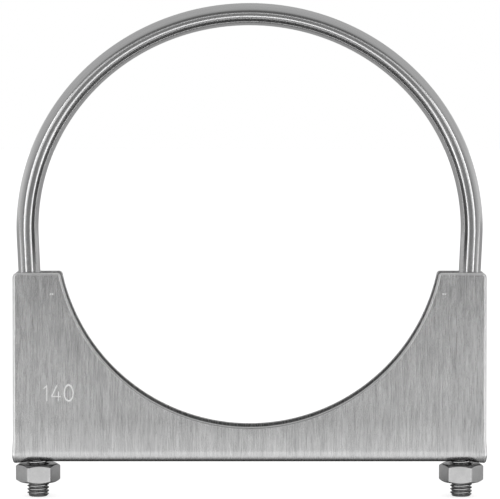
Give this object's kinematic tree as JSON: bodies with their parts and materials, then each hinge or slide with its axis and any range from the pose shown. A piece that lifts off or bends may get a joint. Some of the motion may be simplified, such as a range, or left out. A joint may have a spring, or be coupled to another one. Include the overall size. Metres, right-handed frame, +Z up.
{
  "type": "saddle u-bolt clamp",
  "caption": "Bent round-rod U-bolt for a large pipe, with a folded sheet saddle across its legs and plain hex nuts on its threaded ends.",
  "frame": {"origin": "centre of the pipe that the clamp holds, midway through the saddle's depth", "axes": "+Z up to the top of the arch, +X towards the right-hand leg seen from the stamped front, +Y away from that front, along the pipe"},
  "size_m": [0.1726, 0.0142, 0.1791],
  "materials": {
    "rod_steel": "bright plated, glossy, drawn lengthwise",
    "sheet_steel": "satin, rolled grain running up and down",
    "nut_steel": "satin plated flats, darker chamfers"
  },
  "bodies": {
    "u_bolt": {"u_bolt": "rod_steel"},
    "saddle": {"saddle": "sheet_steel"},
    "nut_left": {"nut_left": "nut_steel"},
    "nut_right": {"nut_right": "nut_steel"}
  },
  "joints": [
    {"name": "saddle_slide", "type": "slide", "parent": "u_bolt", "child": "saddle", "axis": [0, 0, 1], "range_m": [-0.005, 0.0056]},
    {"name": "nut_left_spin", "type": "hinge", "parent": "saddle", "child": "nut_left", "pos_m": [-0.0772, 0, -0.08715], "axis": [0, 0, 1], "range_deg": [-1440, 1612.8]},
    {"name": "nut_right_spin", "type": "hinge", "parent": "saddle", "child": "nut_right", "pos_m": [0.0772, 0, -0.08715], "axis": [0, 0, 1], "range_deg": [-1440, 1612.8]}
  ],
  "couplings": [
    {"joint": "nut_left_spin", "follows": "saddle_slide", "rad_per_m": 5026.5},
    {"joint": "nut_right_spin", "follows": "saddle_slide", "rad_per_m": 5026.5}
  ]
}
